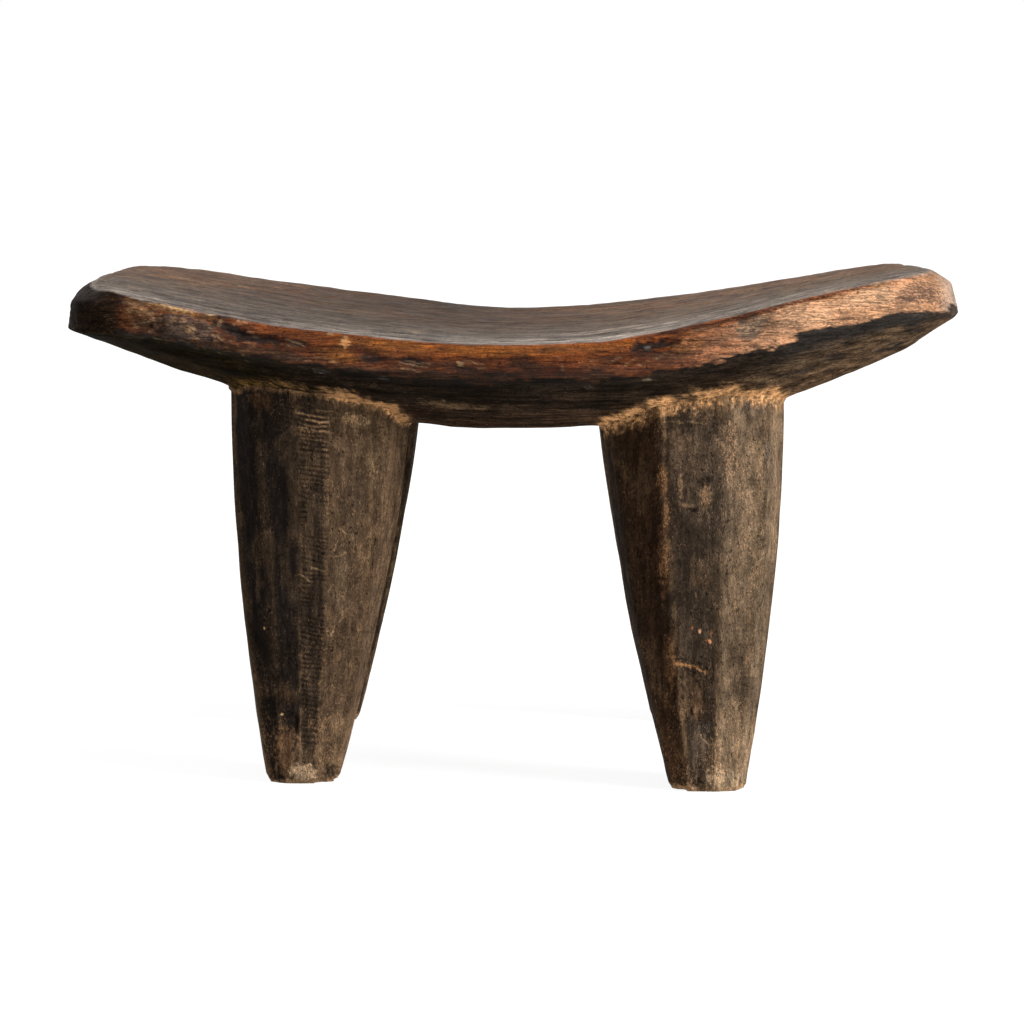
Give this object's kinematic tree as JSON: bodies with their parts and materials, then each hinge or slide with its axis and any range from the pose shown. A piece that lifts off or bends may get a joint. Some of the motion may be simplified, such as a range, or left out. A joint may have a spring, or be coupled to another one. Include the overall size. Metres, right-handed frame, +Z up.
{
  "type": "carved headrest stool",
  "caption": "Low carved wooden headrest or stool with a long dished seat on stout tapered legs.",
  "frame": {"origin": "on the ground, below the centre of the seat's bounding box", "axes": "+Z up, +X along the seat towards its right end, -Y towards the front"},
  "size_m": [0.464, 0.25, 0.2699],
  "materials": {
    "seat_wood": "dark hardwood polished by use, red-brown along the worn edge face and blackened below it",
    "leg_wood": "dry dark brown adze-cut hardwood with tan wear on the ridges and at the feet"
  },
  "bodies": {
    "root": {"seat": "seat_wood", "leg_front_left": "leg_wood", "leg_front_right": "leg_wood", "leg_rear_left": "leg_wood", "leg_rear_right": "leg_wood"}
  },
  "joints": []
}
